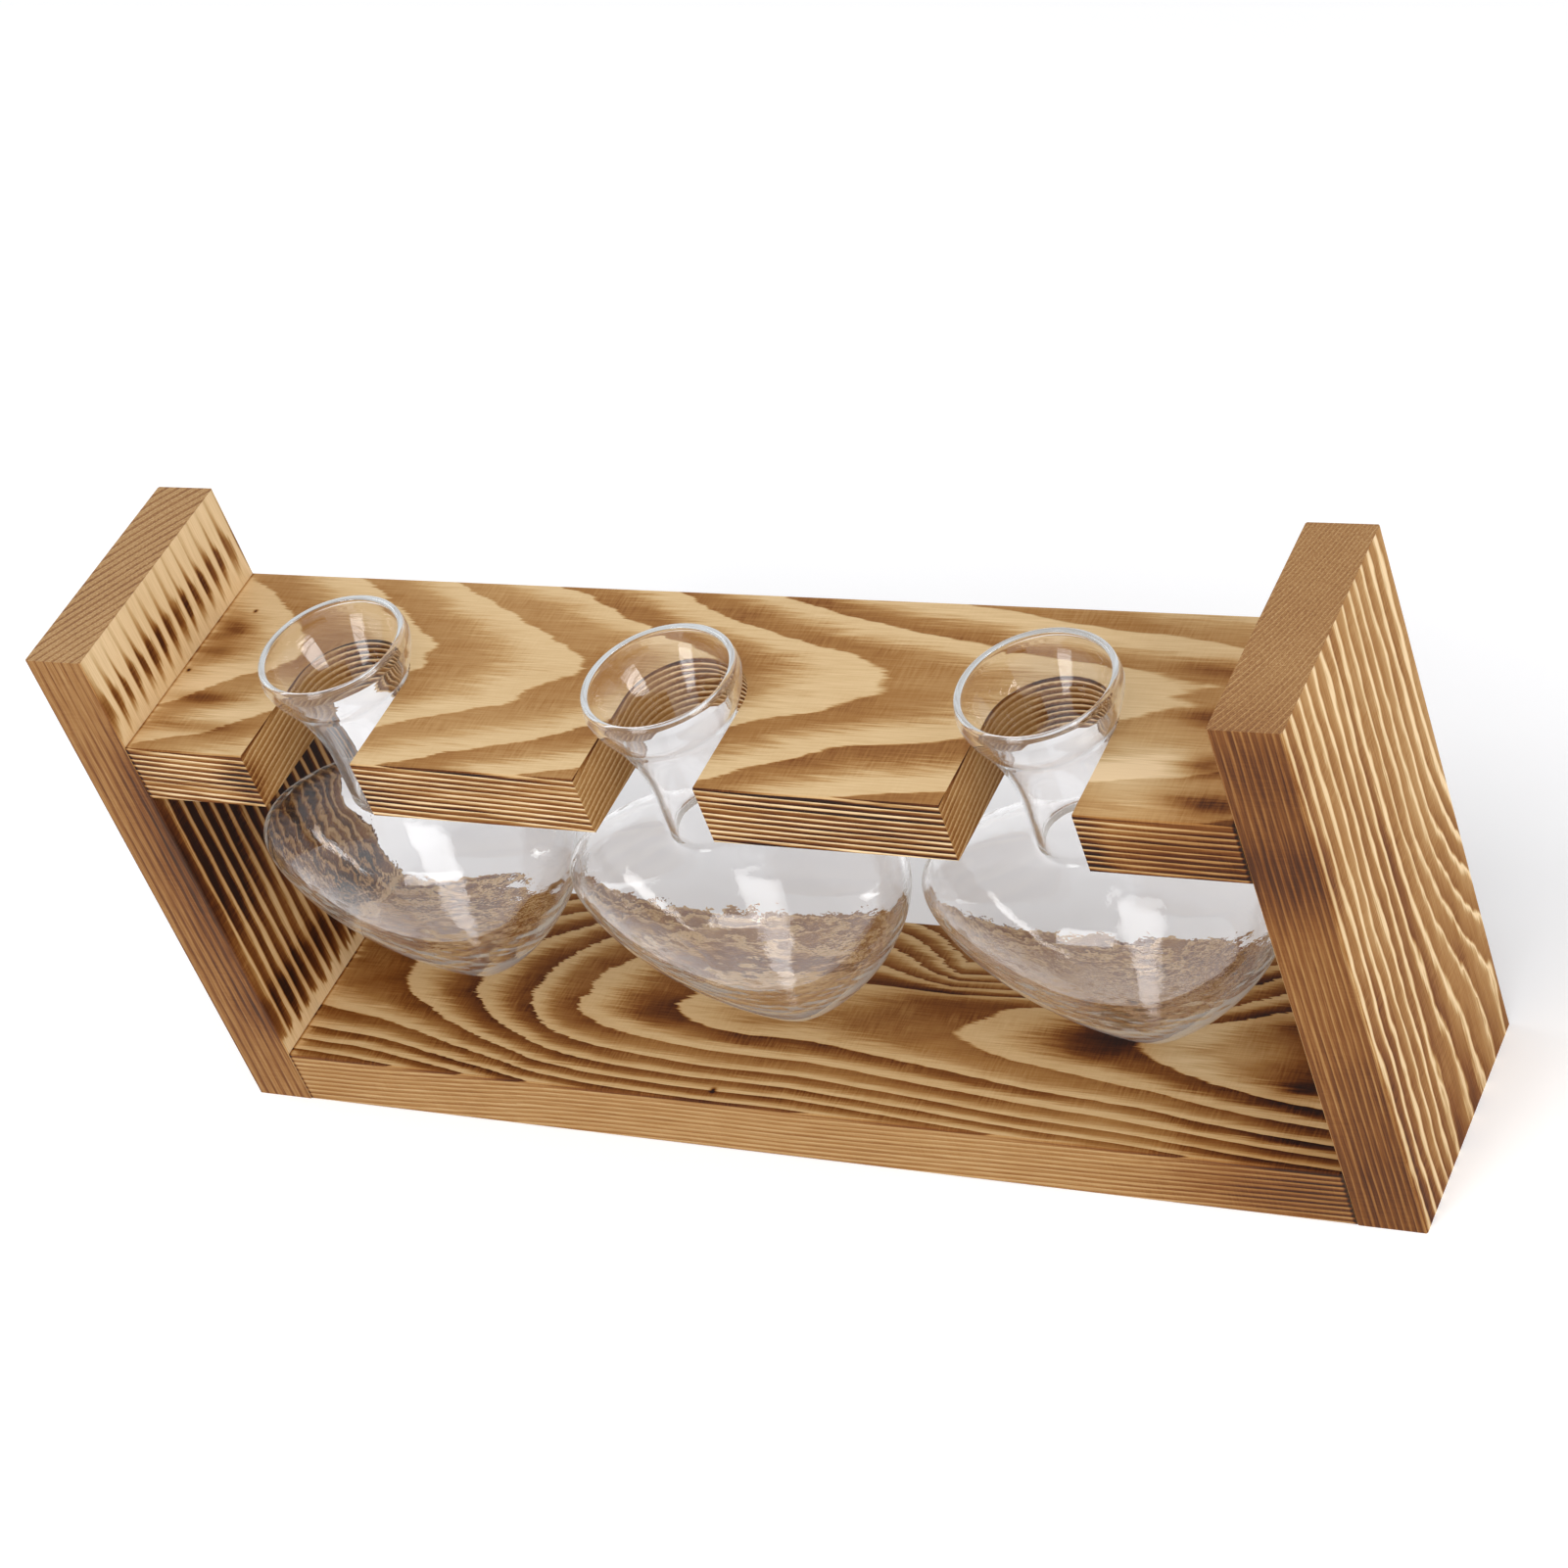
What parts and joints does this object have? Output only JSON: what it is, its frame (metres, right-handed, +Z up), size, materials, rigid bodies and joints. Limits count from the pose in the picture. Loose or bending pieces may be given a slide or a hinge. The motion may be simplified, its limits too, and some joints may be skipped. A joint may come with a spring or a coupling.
{
  "type": "glass vase with wooden frame",
  "caption": "Low wooden frame whose notched shelf carries flattened glass bulb vases by their cups; each vase pulls out at the front.",
  "frame": {"origin": "on the table, under the middle of the frame", "axes": "+X to the right along the frame, seen from the open side of the notches, which is -Y; +Z up"},
  "size_m": [0.29, 0.0607, 0.136],
  "materials": {
    "panel_wood": "scorched and brushed softwood, matt",
    "board_wood": "scorched and brushed softwood, matt",
    "dowel_wood": "plain beech, unfinished",
    "clear_glass": "clear, thin and slightly rippled"
  },
  "bodies": {
    "frame": {"left_panel": "panel_wood", "right_panel": "panel_wood", "base_board": "board_wood", "shelf": "board_wood", "shelf_dowel_left_front": "dowel_wood", "shelf_dowel_left_back": "dowel_wood", "shelf_dowel_right_front": "dowel_wood", "shelf_dowel_right_back": "dowel_wood", "base_dowel_left_front": "dowel_wood", "base_dowel_left_back": "dowel_wood", "base_dowel_right_front": "dowel_wood", "base_dowel_right_back": "dowel_wood"},
    "left_vase": {"vase_left": "clear_glass"},
    "middle_vase": {"vase_middle": "clear_glass"},
    "right_vase": {"vase_right": "clear_glass"}
  },
  "joints": [
    {"name": "left_vase_slide", "type": "slide", "parent": "frame", "child": "left_vase", "axis": [0, -1, 0], "range_m": [0, 0.06]},
    {"name": "middle_vase_slide", "type": "slide", "parent": "frame", "child": "middle_vase", "axis": [0, -1, 0], "range_m": [-0.004, 0.056]},
    {"name": "right_vase_slide", "type": "slide", "parent": "frame", "child": "right_vase", "axis": [0, -1, 0], "range_m": [0, 0.06]}
  ]
}
